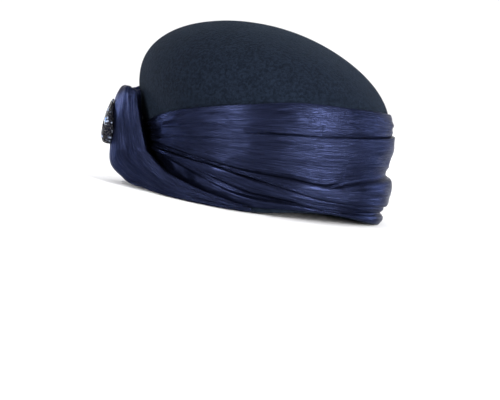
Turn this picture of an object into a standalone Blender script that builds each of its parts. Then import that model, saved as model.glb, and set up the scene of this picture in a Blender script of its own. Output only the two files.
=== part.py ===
"""Women's winter hat: a blocked felt crown, a pleated silk band gathered at the
wearer's right, a strip of the same silk turned up over the gather, and a beaded
brooch with a cut stone on that strip.

Metres and degrees. +Z is up, the rim rests on z = 0, the wearer's front is -Y and
the wearer's right is -X. An azimuth is counted from the front towards the wearer's
right, and a standoff is how far a point lies outside the felt's outer face.
"""

import math
from collections import namedtuple

import bmesh
import bpy
from mathutils import Vector
from mathutils.bvhtree import BVHTree

# Felt crown
RIM_HALF_LENGTH = 0.1000
RIM_HALF_WIDTH = 0.0845
CROWN_HEIGHT = 0.142
SHOULDER_HEIGHT = 0.080
CROWN_SWELL = 0.0107
WALL_LEAN = 9.75
TOP_LEAN = 0.006
LEAN_AZIMUTH = 125.0
FELT_WALL = 0.0025
ARCH_RISE = 0.007
ARCH_AZIMUTH = 8.0
ARCH_HALF_ANGLE = 42.0

# Silk band
BAND_HEIGHT = 0.088
PLEAT_DEPTH = 0.0075
BAND_STAND = 0.0026
SILK_WALL = 0.0012
SEAT_GAP = 0.0005
FOLD_EASE = 0.0012
GROOVE = 0.0008
SOFT_BULGE = 0.0006

# Turned-up silk strip
TWIST_HEIGHT = 0.079
TWIST_DEPTH = 0.035
KNOT_AZIMUTH = 130.0
FAR_SIDE_NARROWING = 0.8
FAR_SIDE_SEAT = 0.62
HEM_HEIGHT = 0.0014

# Brooch
BROOCH_HEIGHT = 0.034
BROOCH_WIDTH = 0.024
BROOCH_TAPER = 0.15
BROOCH_THICKNESS = 0.0036
BROOCH_WEDGE = 0.8
BROOCH_EDGE = 0.0012
BROOCH_CENTRE_HEIGHT = 0.0475
BROOCH_AZIMUTH = 124.5
BROOCH_GAP = 0.0008
STONE_DIAMETER = 0.009
STONE_HEIGHT = 0.0028
STONE_GIRDLE = 0.0006
STONE_TABLE_SHARE = 0.56
STONE_KITE_SHARE = 0.8
STONE_KITE_RISE = 0.55
STONE_CLEARANCE = 0.0004
STONE_SEAT_DEPTH = 0.0026
STONE_OFFSET = 0.003

# Shapes of the folds, as shares
EASE_SHARE = 0.3
SINK_SHARE = 0.3
FLAT_SHARE = 0.1
PLEAT_SINKS = (0, 1, 0, 1, 0.3)
TUCK_SHARES = (0.75, 0.4, 0)
CREST_SWELL = 1.03

# How finely the faces follow the curves
AROUND = 64
WALL_RINGS = 5
DOME_RINGS = 8
TWIST_STEPS_ALONG = 3
TWIST_STEPS_ACROSS = 2
BROOCH_SIDES = 28
BROOCH_RINGS = 4
BACK_RINGS = 5
STONE_FACETS = 8
ROUND_ANGLE = 60.0

# Heights are shares of BAND_HEIGHT, the foot's above the felt's edge, and each
# standoff is a share of PLEAT_DEPTH. A row is a section at one azimuth; the fold
# lines are listed from the top edge down.
BandSection = namedtuple(
    "BandSection",
    "azimuth top lip roll step tuck foot lip_out roll_out step_out tuck_out",
)
BAND_SECTIONS = (
    BandSection(-229, 0.60, 0.49, 0.455, 0.420, 0.34, 0.070, 0.33, 0.32, 0.33, 0.32),
    BandSection(-205, 0.68, 0.52, 0.435, 0.375, 0.27, 0.035, 0.36, 0.38, 0.44, 0.42),
    BandSection(-175, 0.80, 0.59, 0.410, 0.305, 0.17, 0.012, 0.42, 0.55, 0.58, 0.53),
    BandSection(-145, 0.89, 0.66, 0.410, 0.250, 0.13, 0.006, 0.50, 0.75, 0.60, 0.52),
    BandSection(-110, 0.94, 0.73, 0.420, 0.205, 0.10, 0.006, 0.60, 0.92, 0.58, 0.51),
    BandSection(-75, 0.97, 0.77, 0.420, 0.180, 0.09, 0.006, 0.67, 0.99, 0.57, 0.50),
    BandSection(-42, 0.98, 0.785, 0.420, 0.170, 0.09, 0.006, 0.69, 1.00, 0.56, 0.50),
    BandSection(-12, 1.00, 0.76, 0.398, 0.185, 0.10, 0.006, 0.65, 0.98, 0.55, 0.48),
    BandSection(8, 1.00, 0.733, 0.358, 0.200, 0.11, 0.007, 0.56, 0.92, 0.54, 0.47),
    BandSection(24, 0.978, 0.707, 0.341, 0.240, 0.14, 0.027, 0.50, 0.78, 0.54, 0.45),
    BandSection(40, 0.915, 0.682, 0.347, 0.300, 0.15, 0.045, 0.46, 0.56, 0.62, 0.47),
    BandSection(54, 0.858, 0.653, 0.369, 0.341, 0.20, 0.062, 0.44, 0.42, 0.72, 0.62),
    BandSection(70, 0.795, 0.614, 0.398, 0.367, 0.27, 0.070, 0.44, 0.39, 0.72, 0.72),
    BandSection(88, 0.712, 0.563, 0.420, 0.386, 0.33, 0.070, 0.42, 0.38, 0.62, 0.60),
    BandSection(108, 0.62, 0.517, 0.426, 0.398, 0.352, 0.070, 0.36, 0.35, 0.44, 0.43),
)

# Heights are shares of TWIST_HEIGHT and standoffs are shares of TWIST_DEPTH. A row is
# a section of the strip, from its point on the rim to the fold at its top: its edge
# over the band, its rounded ridge and its outer corner. upright is 0 where the strip
# lies along the rim with its far edge tucked under, and 1 where it stands.
TwistSection = namedtuple(
    "TwistSection",
    "edge_azimuth edge_height edge_out ridge_azimuth ridge_height ridge_out "
    "corner_azimuth corner_height corner_out upright",
)
TWIST_SECTIONS = (
    TwistSection(41, 0.070, 0.11, 41, 0.048, 0.14, 41, 0.027, 0.13, 0.0),
    TwistSection(49, 0.080, 0.14, 50, 0.052, 0.19, 50, 0.027, 0.20, 0.0),
    TwistSection(66, 0.13, 0.18, 68, 0.065, 0.26, 68, 0.025, 0.31, 0.0),
    TwistSection(82, 0.20, 0.21, 86, 0.10, 0.34, 89, 0.03, 0.43, 0.0),
    TwistSection(90, 0.245, 0.22, 96, 0.175, 0.40, 102, 0.06, 0.52, 0.1),
    TwistSection(100, 0.35, 0.26, 106, 0.285, 0.49, 113, 0.09, 0.78, 0.4),
    TwistSection(103, 0.40, 0.30, 110, 0.37, 0.54, 121, 0.22, 0.97, 0.8),
    TwistSection(103, 0.54, 0.31, 112, 0.505, 0.53, 121, 0.415, 0.87, 1.0),
    TwistSection(104, 0.68, 0.30, 111, 0.675, 0.49, 121, 0.63, 0.75, 1.0),
    TwistSection(105, 0.815, 0.27, 111, 0.81, 0.44, 121, 0.79, 0.62, 1.0),
    TwistSection(108, 0.915, 0.22, 113, 0.93, 0.38, 121, 0.915, 0.48, 1.0),
    TwistSection(114, 0.965, 0.16, 118, 0.99, 0.26, 123, 0.975, 0.33, 1.0),
    TwistSection(118, 0.85, 0.05, 121, 0.86, 0.05, 125, 0.87, 0.05, 1.0),
)


def heading(azimuth):
    """Level unit vector that points out of the hat at an azimuth."""
    turn = math.radians(azimuth)
    return Vector((-math.sin(turn), -math.cos(turn), 0))


def clamp(value, low=0.0, high=1.0):
    return min(max(value, low), high)


def mix(first, second, share):
    return first + (second - first) * share


def lean(height):
    """How far the crown has moved sideways at a height."""
    over = clamp((height - SHOULDER_HEIGHT) / (CROWN_HEIGHT - SHOULDER_HEIGHT))
    wall = height * math.tan(math.radians(WALL_LEAN))
    return wall + TOP_LEAN * over * over * (3 - 2 * over)


def crown_point(azimuth, height, out=0.0, inset=0.0):
    """A point outside the felt's outer face by out, or on a face inset into it."""
    rise = clamp(height / SHOULDER_HEIGHT)
    # The wall flares from the rim and stands level with the dome at the shoulder.
    swell = CROWN_SWELL * rise * (1 + 4 * rise - 3 * rise * rise) / 2
    over = clamp((height - SHOULDER_HEIGHT) / (CROWN_HEIGHT - inset - SHOULDER_HEIGHT))
    dome = math.sqrt(1 - over * over)
    half_length = (RIM_HALF_LENGTH + swell - inset) * dome
    half_width = (RIM_HALF_WIDTH + swell - inset) * dome
    if min(half_length, half_width) <= 0:
        reach = 0.0
    else:
        turn = math.radians(azimuth)
        reach = 1 / math.hypot(math.sin(turn) / half_width, math.cos(turn) / half_length)
    middle = heading(LEAN_AZIMUTH) * lean(height)
    return middle + heading(azimuth) * (reach + out) + Vector((0, 0, height))


def rim_height(azimuth):
    """The felt's edge is level but for a low arch over the forehead."""
    away = abs((azimuth - ARCH_AZIMUTH + 180) % 360 - 180)
    if away >= ARCH_HALF_ANGLE:
        return 0.0
    return ARCH_RISE * math.cos(math.pi / 2 * away / ARCH_HALF_ANGLE) ** 2


def spline(before, start, end, after, share):
    """Catmull-Rom value between start and end; works on numbers and vectors."""
    square = share * share
    cube = square * share
    return (
        start * 2
        + (end - before) * share
        + (before * 2 - start * 5 + end * 4 - after) * square
        + (start * 3 - before - end * 3 + after) * cube
    ) * 0.5


def through(points, place):
    """Point of the smooth line through points; place counts them from 0."""
    last = len(points) - 1
    index = min(int(place), last - 1)
    before = points[max(index - 1, 0)]
    after = points[min(index + 2, last)]
    return spline(before, points[index], points[index + 1], after, place - index)


def new_object(name, mesh_maker, colour, roughness, flat=False):
    """Object of the mesh that mesh_maker fills, with a plain material of its own."""
    mesh = bpy.data.meshes.new(name)
    bm = bmesh.new()
    mesh_maker(bm)
    if all(len(edge.link_faces) == 2 for edge in bm.edges):
        bmesh.ops.recalc_face_normals(bm, faces=bm.faces)
    bm.to_mesh(mesh)
    bm.free()
    if flat:
        mesh.shade_flat()
    else:
        mesh.shade_smooth()
        mesh.set_sharp_from_angle(angle=math.radians(ROUND_ANGLE))
    material = bpy.data.materials.new(name)
    material.use_nodes = True
    shader = material.node_tree.nodes["Principled BSDF"]
    shader.inputs["Base Color"].default_value = (*colour, 1)
    shader.inputs["Roughness"].default_value = roughness
    mesh.materials.append(material)
    piece = bpy.data.objects.new(name, mesh)
    bpy.context.scene.collection.objects.link(piece)
    return piece


def bridge(bm, first, second, closed=True):
    """Quads between two rows of vertices."""
    count = len(first)
    for i in range(count if closed else count - 1):
        j = (i + 1) % count
        bm.faces.new((first[i], first[j], second[j], second[i]))


def fan(bm, ring, tip):
    """Triangles from a closed row of vertices to one point."""
    for i, vertex in enumerate(ring):
        bm.faces.new((vertex, ring[(i + 1) % len(ring)], tip))


def crown_heights(azimuth, inset):
    """Heights of one meridian's points, from the rim to just below the top."""
    rim = rim_height(azimuth)
    walls = [mix(rim, SHOULDER_HEIGHT, ring / WALL_RINGS) for ring in range(WALL_RINGS)]
    dome_height = CROWN_HEIGHT - inset - SHOULDER_HEIGHT
    domes = []
    for ring in range(DOME_RINGS):
        turn = math.pi / 2 * ring / DOME_RINGS
        domes.append(SHOULDER_HEIGHT + dome_height * math.sin(turn))
    return walls + domes


def fill_crown(bm):
    """Felt shell, open at the rim: outer face, inner face and the cut edge between."""
    edges = []
    for inset in (0.0, FELT_WALL):
        meridians = []
        for column in range(AROUND):
            azimuth = 360 * column / AROUND
            meridians.append(
                [
                    bm.verts.new(crown_point(azimuth, height, inset=inset))
                    for height in crown_heights(azimuth, inset)
                ]
            )
        rings = list(zip(*meridians))
        for lower, upper in zip(rings, rings[1:]):
            bridge(bm, lower, upper)
        tip = bm.verts.new(crown_point(0, CROWN_HEIGHT - inset, inset=inset))
        fan(bm, rings[-1], tip)
        edges.append(rings[0])
    bridge(bm, *edges)


def band_section(azimuth):
    """Section of the band at an azimuth, smooth through the table's rows."""
    rows = BAND_SECTIONS
    turn = rows[0].azimuth + (azimuth - rows[0].azimuth) % 360
    index = max(i for i, row in enumerate(rows) if row.azimuth <= turn)
    count = len(rows)
    here = rows[index]
    after = rows[(index + 1) % count]
    gap = (after.azimuth - here.azimuth) % 360
    share = (turn - here.azimuth) / gap
    before = rows[index - 1]
    beyond = rows[(index + 2) % count]
    gap_before = (here.azimuth - before.azimuth) % 360
    gap_beyond = (beyond.azimuth - after.azimuth) % 360
    values = []
    for first, start, end, last in zip(before[1:], here[1:], after[1:], beyond[1:]):
        # The outer rows are moved to where even spacing would put them.
        first = start - (start - first) * gap / gap_before
        last = end + (last - end) * gap / gap_beyond
        values.append(spline(first, start, end, last, share))
    return BandSection(azimuth, *values)


def band_profile(azimuth):
    """Height and standoff of the pleated face, from the top edge to the foot."""
    row = band_section(azimuth)
    foot = rim_height(azimuth) + row.foot * BAND_HEIGHT
    shares = (row.top, row.lip, row.roll, row.step, row.tuck)
    heights = [share * BAND_HEIGHT for share in shares] + [foot]
    lying = SEAT_GAP + SILK_WALL
    lip, roll, step, tuck = (
        max(share * PLEAT_DEPTH, lying)
        for share in (row.lip_out, row.roll_out, row.step_out, row.tuck_out)
    )
    tops = (min(BAND_STAND, lip), lip, roll, step, tuck)
    nexts = (lip, roll, step, tuck, lying)
    last = len(tops) - 1
    profile = [(heights[0], mix(lying, tops[0], 0.5))]
    for k, (out, below) in enumerate(zip(tops, nexts)):
        tall = heights[k] - heights[k + 1]
        ease = min(FOLD_EASE, EASE_SHARE * tall)
        # A pleat sinks towards the felt only where the one below it stands proud.
        proud = clamp((below - lying) / (SINK_SHARE * PLEAT_DEPTH)) if k < last else 1
        low = mix(out, lying, PLEAT_SINKS[k] * proud)
        middle = mix(out, low, 0.5) + SOFT_BULGE * min(1, tall / (FLAT_SHARE * BAND_HEIGHT))
        profile.append((heights[k] - ease, out))
        profile.append((mix(heights[k], heights[k + 1], 0.5), middle))
        profile.append((heights[k + 1] + ease, low))
        if k < last:
            profile.append((heights[k + 1], max(lying, min(low, below) - GROOVE)))
    profile.append((foot, lying))
    return profile


def lining_profile(profile):
    """The same face moved in by the silk's wall, without the points between folds."""
    kept = [point for i, point in enumerate(profile) if i % 4 != 2]
    normals = []
    for (z0, out0), (z1, out1) in zip(kept, kept[1:]):
        length = math.hypot(z1 - z0, out1 - out0)
        normals.append(((out1 - out0) / length, (z0 - z1) / length))
    inner = [(kept[0][0], SEAT_GAP)]
    for i in range(1, len(kept) - 1):
        up = normals[i - 1][0] + normals[i][0]
        away = normals[i - 1][1] + normals[i][1]
        reach = SILK_WALL / math.hypot(up, away)
        out = max(kept[i][1] - away * reach, SEAT_GAP)
        inner.append((kept[i][0] - up * reach, out))
    inner.append((kept[-1][0], SEAT_GAP))
    return inner


def fill_band(bm):
    """Ring of pleated silk round the crown, one closed loop of faces per azimuth."""
    columns = []
    for column in range(AROUND):
        azimuth = 360 * column / AROUND
        outer = band_profile(azimuth)
        loop = outer + lining_profile(outer)[::-1]
        columns.append([bm.verts.new(crown_point(azimuth, z, out)) for z, out in loop])
    for column, points in enumerate(columns):
        bridge(bm, points, columns[(column + 1) % AROUND])


def twist_controls(row):
    """Seven points across the strip at one section, edge over the band first."""
    near = [
        Vector((row.edge_azimuth, row.edge_height, row.edge_out)),
        Vector((row.ridge_azimuth, row.ridge_height, row.ridge_out)),
        Vector((row.corner_azimuth, row.corner_height, row.corner_out)),
    ]
    corner = near[2]
    hem = HEM_HEIGHT / TWIST_HEIGHT
    mirrored = []
    for point in (corner, near[1], near[0]):
        azimuth = KNOT_AZIMUTH + FAR_SIDE_NARROWING * (KNOT_AZIMUTH - point.x)
        height = max(2 * corner.y - point.y, hem)
        mirrored.append(Vector((azimuth, height, point.z)))
    mirrored[2].z *= FAR_SIDE_SEAT
    lying = (SEAT_GAP + SILK_WALL) / TWIST_DEPTH
    tucked = [Vector((corner.x, hem, mix(lying, corner.z, share))) for share in TUCK_SHARES]
    far = [mix(low, high, row.upright) for low, high in zip(tucked, mirrored)]
    crest = mix(corner, far[0], 0.5)
    crest.z = mix(crest.z, crest.z * CREST_SWELL, row.upright)
    return near + [crest] + far


def twist_grid():
    """Points of the strip's outer face, one row from edge to edge per section."""
    controls = [twist_controls(row) for row in TWIST_SECTIONS]
    columns = []
    for j in range((len(controls[0]) - 1) * TWIST_STEPS_ACROSS + 1):
        line = [through(points, j / TWIST_STEPS_ACROSS) for points in controls]
        steps = (len(line) - 1) * TWIST_STEPS_ALONG + 1
        columns.append([through(line, i / TWIST_STEPS_ALONG) for i in range(steps)])
    grid = []
    for row in zip(*columns):
        grid.append(
            [
                crown_point(
                    azimuth,
                    max(height * TWIST_HEIGHT, HEM_HEIGHT),
                    max(out * TWIST_DEPTH, SEAT_GAP + SILK_WALL),
                )
                for azimuth, height, out in row
            ]
        )
    return grid


def fill_twist(bm):
    """Open sheet whose faces point away from the hat."""
    rows = [[bm.verts.new(point) for point in row] for row in twist_grid()]
    for first, second in zip(rows, rows[1:]):
        bridge(bm, second, first, closed=False)


def strip_face():
    """The strip's outer face, for laying the brooch on it."""
    grid = twist_grid()
    width = len(grid[0])
    points = [point for row in grid for point in row]
    faces = []
    for i in range(len(grid) - 1):
        for j in range(width - 1):
            start = i * width + j
            faces.append((start, start + 1, start + width + 1, start + width))
    return BVHTree.FromPolygons(points, faces)


BroochSeat = namedtuple("BroochSeat", "face start out side up")


def brooch_seat():
    """The strip's face, a point off it before the brooch's middle, and the way it faces."""
    face = strip_face()
    out = heading(BROOCH_AZIMUTH)
    up = Vector((0, 0, 1))
    start = crown_point(BROOCH_AZIMUTH, BROOCH_CENTRE_HEIGHT, 2 * TWIST_DEPTH)
    seat = BroochSeat(face, start, out, out.cross(up), up)
    middle = seat_point(seat, 0, 0)
    chord = seat_point(seat, BROOCH_WIDTH / 2, 0) - seat_point(seat, -BROOCH_WIDTH / 2, 0)
    rise = seat_point(seat, 0, BROOCH_HEIGHT / 2) - seat_point(seat, 0, -BROOCH_HEIGHT / 2)
    out = rise.cross(chord).normalized()
    side = chord.normalized()
    return BroochSeat(face, middle + out * TWIST_DEPTH, out, side, side.cross(out))


def seat_point(seat, across, up):
    """Where a line into the hat meets the strip, across and up from the brooch's middle."""
    start = seat.start + seat.side * across + seat.up * up
    return seat.face.ray_cast(start, -seat.out)[0]


def stone_floor(seat):
    """How far out the brooch's sunk seat for the stone lies, level across it."""
    half = STONE_DIAMETER / 2
    places = [(across - STONE_OFFSET, up) for across in (-half, 0, half) for up in (-half, 0, half)]
    reach = max(seat_point(seat, across, up).dot(seat.out) for across, up in places)
    return reach + BROOCH_GAP + BROOCH_THICKNESS - STONE_SEAT_DEPTH


def seat_share():
    """Share of the oval that the stone's seat takes up."""
    return (STONE_DIAMETER / 2 + STONE_CLEARANCE) / (BROOCH_WIDTH / 2)


def brooch_dome():
    """Share of the oval and height above its back, from the edge to the stone's seat."""
    rings = []
    for k in range(BROOCH_RINGS + 1):
        turn = math.pi / 2 * k / BROOCH_RINGS
        share = mix(seat_share(), 1, math.cos(turn))
        rings.append((share, mix(BROOCH_EDGE, BROOCH_THICKNESS, math.sin(turn))))
    return rings


def fill_brooch(bm):
    """Oval pad that follows the strip, thicker and wider towards its lower end, and
    domed round a sunk level seat for the stone."""
    seat = brooch_seat()
    turns = [2 * math.pi * k / BROOCH_SIDES for k in range(BROOCH_SIDES)]

    def shift(share):
        return -STONE_OFFSET * (1 - share) / (1 - seat_share())

    def oval(share, stand=0.0):
        places = []
        for turn in turns:
            taper = 1 - BROOCH_TAPER * math.sin(turn)
            across = BROOCH_WIDTH / 2 * share * math.cos(turn) * taper + shift(share)
            up = BROOCH_HEIGHT / 2 * share * math.sin(turn)
            wedge = 1 - BROOCH_WEDGE * share * math.sin(turn)
            raised = BROOCH_GAP + stand * wedge
            places.append(seat_point(seat, across, up) + seat.out * raised)
        return places

    shares = [(ring + 1) / BACK_RINGS for ring in range(BACK_RINGS)]
    rings = [oval(share) for share in shares]
    rings += [oval(share, stand) for share, stand in brooch_dome()]
    floor = stone_floor(seat)
    rings.append([place + seat.out * (floor - place.dot(seat.out)) for place in rings[-1]])
    rings = [[bm.verts.new(place) for place in ring] for ring in rings]
    for first, second in zip(rings, rings[1:]):
        bridge(bm, first, second)
    middle = seat_point(seat, shift(0), 0)
    fan(bm, rings[0], bm.verts.new(middle + seat.out * BROOCH_GAP))
    bm.faces.new(rings[-1])


def fill_stone(bm):
    """Round cut stone: table, star facets, kites, girdle and a flat back."""
    seat = brooch_seat()
    half = STONE_DIAMETER / 2
    middle = seat_point(seat, -STONE_OFFSET, 0)
    middle += seat.out * (stone_floor(seat) + STONE_CLEARANCE - middle.dot(seat.out))

    def ring(count, radius, stand, offset=0.0):
        points = []
        for k in range(count):
            turn = 2 * math.pi * (k + offset) / count
            level = seat.side * math.cos(turn) + seat.up * math.sin(turn)
            points.append(bm.verts.new(middle + level * radius + seat.out * stand))
        return points

    girdle_top = STONE_HEIGHT / 2
    kite_height = mix(girdle_top, STONE_HEIGHT, STONE_KITE_RISE)
    back = ring(2 * STONE_FACETS, STONE_KITE_SHARE * half, 0)
    low = ring(2 * STONE_FACETS, half, girdle_top - STONE_GIRDLE)
    high = ring(2 * STONE_FACETS, half, girdle_top)
    kites = ring(STONE_FACETS, STONE_KITE_SHARE * half, kite_height, 0.5)
    table = ring(STONE_FACETS, STONE_TABLE_SHARE * half, STONE_HEIGHT)
    bm.faces.new(back)
    bridge(bm, back, low)
    bridge(bm, low, high)
    bm.faces.new(table)
    for k in range(STONE_FACETS):
        after = (k + 1) % STONE_FACETS
        bm.faces.new((table[k], table[after], kites[k]))
        bm.faces.new((table[k], kites[k], high[2 * k]))
        bm.faces.new((table[k], high[2 * k], kites[k - 1]))
        bm.faces.new((kites[k], high[2 * k], high[2 * k + 1]))
        bm.faces.new((kites[k], high[2 * k + 1], high[2 * after]))


def stand_on_origin(pieces):
    """Parents the pieces to an empty that puts their box's bottom centre on the origin."""
    bpy.context.view_layer.update()
    graph = bpy.context.evaluated_depsgraph_get()
    corners = []
    for piece in pieces:
        corners.extend(Vector(corner) for corner in piece.evaluated_get(graph).bound_box)
    lows = [min(corner[axis] for corner in corners) for axis in range(3)]
    highs = [max(corner[axis] for corner in corners) for axis in range(3)]
    hat = bpy.data.objects.new("hat", None)
    bpy.context.scene.collection.objects.link(hat)
    hat.location = (-(lows[0] + highs[0]) / 2, -(lows[1] + highs[1]) / 2, -lows[2])
    for piece in pieces:
        piece.parent = hat


def clear_scene():
    for obj in list(bpy.data.objects):
        bpy.data.objects.remove(obj)


def main():
    clear_scene()
    felt = (0.012, 0.022, 0.034)
    silk = (0.010, 0.012, 0.055)
    crown = new_object("crown", fill_crown, felt, 0.95)
    band = new_object("band", fill_band, silk, 0.45)
    twist = new_object("side_twist", fill_twist, silk, 0.45)
    wall = twist.modifiers.new("silk wall", "SOLIDIFY")
    wall.thickness = SILK_WALL
    wall.offset = -1
    brooch = new_object("brooch_base", fill_brooch, (0.006, 0.008, 0.020), 0.25)
    stone = new_object("brooch_stone", fill_stone, (0.10, 0.30, 0.65), 0.05, flat=True)
    stand_on_origin([crown, band, twist, brooch, stone])


main()
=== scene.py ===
"""Women's winter hat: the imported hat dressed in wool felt, slubbed silk and beads.

Metres and degrees. The hat stands on its rim at z = 0, with the wearer's front at -Y
and the wearer's right at -X. An azimuth is counted from the front towards the wearer's
right, and a standoff is how far a point lies outside the felt's outer face.
"""

import math
from collections import namedtuple

import bmesh
import bpy
import numpy as np
from mathutils import Matrix, Vector, noise
from mathutils.bvhtree import BVHTree


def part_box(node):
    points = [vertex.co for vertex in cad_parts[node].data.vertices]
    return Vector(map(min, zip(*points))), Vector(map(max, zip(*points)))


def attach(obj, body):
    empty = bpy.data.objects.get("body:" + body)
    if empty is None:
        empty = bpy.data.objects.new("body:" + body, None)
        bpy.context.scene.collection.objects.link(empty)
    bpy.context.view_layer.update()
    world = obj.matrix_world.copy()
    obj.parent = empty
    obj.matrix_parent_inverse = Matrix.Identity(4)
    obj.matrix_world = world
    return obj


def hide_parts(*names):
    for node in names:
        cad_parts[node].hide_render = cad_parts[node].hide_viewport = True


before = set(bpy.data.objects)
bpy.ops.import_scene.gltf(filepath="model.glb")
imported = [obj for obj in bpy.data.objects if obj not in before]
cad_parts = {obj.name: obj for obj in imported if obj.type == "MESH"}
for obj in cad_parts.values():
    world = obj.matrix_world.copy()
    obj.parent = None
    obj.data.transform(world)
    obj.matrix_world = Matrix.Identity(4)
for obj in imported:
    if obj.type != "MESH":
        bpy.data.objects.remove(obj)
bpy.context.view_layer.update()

# Felt crown
RIM_HALF_LENGTH = 0.1000
RIM_HALF_WIDTH = 0.0845
CROWN_HEIGHT = 0.142
SHOULDER_HEIGHT = 0.080
CROWN_SWELL = 0.0107
WALL_LEAN = 9.75
TOP_LEAN = 0.006
LEAN_AZIMUTH = 125.0
FELT_WALL = 0.0025
CUT_EDGE_SQUARENESS = 0.6
ARCH_RISE = 0.007
ARCH_AZIMUTH = 8.0
ARCH_HALF_ANGLE = 42.0
FELT_WAVES = 0.00025
FELT_WAVES_UP = 22
FELT_WAVES_LEVEL = 16
CALM_TOP = 0.004

# Silk band. Silk that lies on the felt stands LYING off it, and a hem turned in behind
# it stands a share of that. The top edge stands off by BAND_STAND at most. A pleat's
# lower edge sinks towards the felt by its share in PLEAT_SINKS, in full where the pleat
# below stands SINK_SHARE of PLEAT_DEPTH proud of the felt.
BAND_HEIGHT = 0.088
PLEAT_DEPTH = 0.0075
BAND_STAND = 0.0026
LYING = 0.0013
HEM_SHARE = 0.3
HEM_TURN = 0.006
TOP_ROUND_INSIDE = 0.0008
TOP_ROUND_OUTSIDE = 0.0007
FOOT_ROUND_OUTSIDE = 0.0009
FOOT_ROUND_INSIDE = 0.0007
FOLD_ROOM = 0.006
PLAIN_FOLD_SHARE = 0.3
PLAIN_FIRMNESS = 0.15
GROOVE = 0.0014
DEEP_GROOVE = 0.0050
STEP_GROOVE_SHARE = 1.1
HANG_FILL = 0.6
SOFT_BULGE = 0.0007
FULL_PLEAT = 0.009
SINK_SHARE = 0.3
PLEAT_SINKS = (0, 1, 0, 1, 0.3)
BAND_WRINKLE = 0.0007
WIDE_WRINKLE_SHARE = 1.3
GATHER_WRINKLE = 0.0019
GATHER_AZIMUTH = 108.0
GATHER_REACH = 34.0
WRINKLES_ROUND = 2.4
FINE_WRINKLES_ACROSS = 260
FINE_WRINKLE_SLANT = 12
WIDE_WRINKLES_ACROSS = 110
WIDE_WRINKLE_SLANT = 15

# Turned-up silk strip. The loop's far half mirrors the near one, narrower and set closer
# to the felt at its edge. Where the strip lies along the rim, its far edge is tucked
# under, in steps that are shares of its corner's standoff.
TWIST_HEIGHT = 0.079
TWIST_DEPTH = 0.035
TWIST_LYING = 0.0017
KNOT_AZIMUTH = 130.0
FAR_SIDE_NARROWING = 0.8
FAR_SIDE_SEAT = 0.62
HEM_HEIGHT = 0.0014
HEM_DEPTH = 0.004
HEM_SLANT = 0.25
TUCK_SHARES = (0.75, 0.4, 0)
CREST_SWELL = 1.03
CLOTH_PER_DEGREE = 0.0016
TWIST_WRINKLE = 0.0009
TWIST_WRINKLES_ACROSS = 170
TWIST_WRINKLES_ALONG = 14
CALM_HEM = 0.004
CALM_HEM_SHARE = 0.3
CALM_POINT = 0.02
SILK_WALL = 0.0006

# Brooch. Beads are tried one after another, and stay where no bead lies too near and
# where the pad shows.
BEAD_SIZE = 0.0019
BEAD_SQUASH = 0.8
BEAD_SPACING = 0.86
BEAD_LIFT = 0.0005
BEAD_SIDES = 8
BEAD_RINGS = 6
BEAD_TRIES = 3000
TRY_REACH = 1.1
GOLDEN_TURN = math.pi * (3 - math.sqrt(5))
SEAT_MARGIN = 0.3
BACK_FACING = -0.2
SEAT_FACING = 0.3

# How finely the meshes follow the curves
CROWN_COLUMNS = 256
INNER_DOME_ROWS = 26
INNER_WALL_ROWS = 24
CUT_EDGE_ROWS = 9
OUTER_WALL_ROWS = 40
OUTER_DOME_ROWS = 56
BOX_STEPS = 600
BAND_COLUMNS = 448
TWIST_STEPS_ALONG = 16
TWIST_STEPS_ACROSS = 10
UV_PER_METRE = 10
UV_ROUND_CROWN = 6
UV_ROUND_BAND = 6.2
NOISE_FALLOFF = 0.6
NOISE_STEP = 2.0

# The least lengths that anything is divided by, and the reach within which vertices merge
POLE_RADIUS = 1e-9
LEAST_CHORD = 1e-6
LEAST_NORMAL = 1e-12
MERGE_REACH = 1e-7

# Camera
CAMERA_AZIMUTH = 35.0
CAMERA_DISTANCE = 1.25
CAMERA_HEIGHT = 0.115
CAMERA_ROLL = 8.5
CAMERA_LENS = 112.5
SENSOR_WIDTH = 36
CAMERA_AIM = Vector((-0.01008, 0.00706, 0.0014))

# Floor, and the wall that it bends up into
FLOOR_REACH = 9.0
FLOOR_TO_WALL = 3.0
WALL_BEND = 1.5
FLOOR_STEPS = 80

# Lights, the panels' sizes in metres and their power in watts. All but the wall's face
# the hat.
Panel = namedtuple("Panel", "name azimuth distance height width tall power")
HAT_PANELS = (
    Panel("left_panel", 80, 1.5, 0.34, 0.12, 0.9, 20),
    Panel("front_panel", -5, 1.5, 0.34, 0.12, 0.9, 54),
    Panel("right_panel", -85, 1.5, 0.34, 0.7, 0.6, 14),
    Panel("side_panel", 162, 1.4, 0.12, 0.3, 0.2, 13),
    Panel("top_panel", 112, 0.9, 1.05, 0.3, 0.16, 6),
)
HAT_AIM = Vector((0, 0, 0.06))
WALL_PANEL = Panel("wall_panel", 215, 1.2, 3.2, 4.0, 1.0, 115)
WALL_AIM_REACH = 4
CEILING_POWER = 0.5
CEILING_SPREAD = 70
CEILING_AZIMUTH = 20
CEILING_SLOPE = 0.35
ROOM_LIGHT = 0.15

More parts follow.
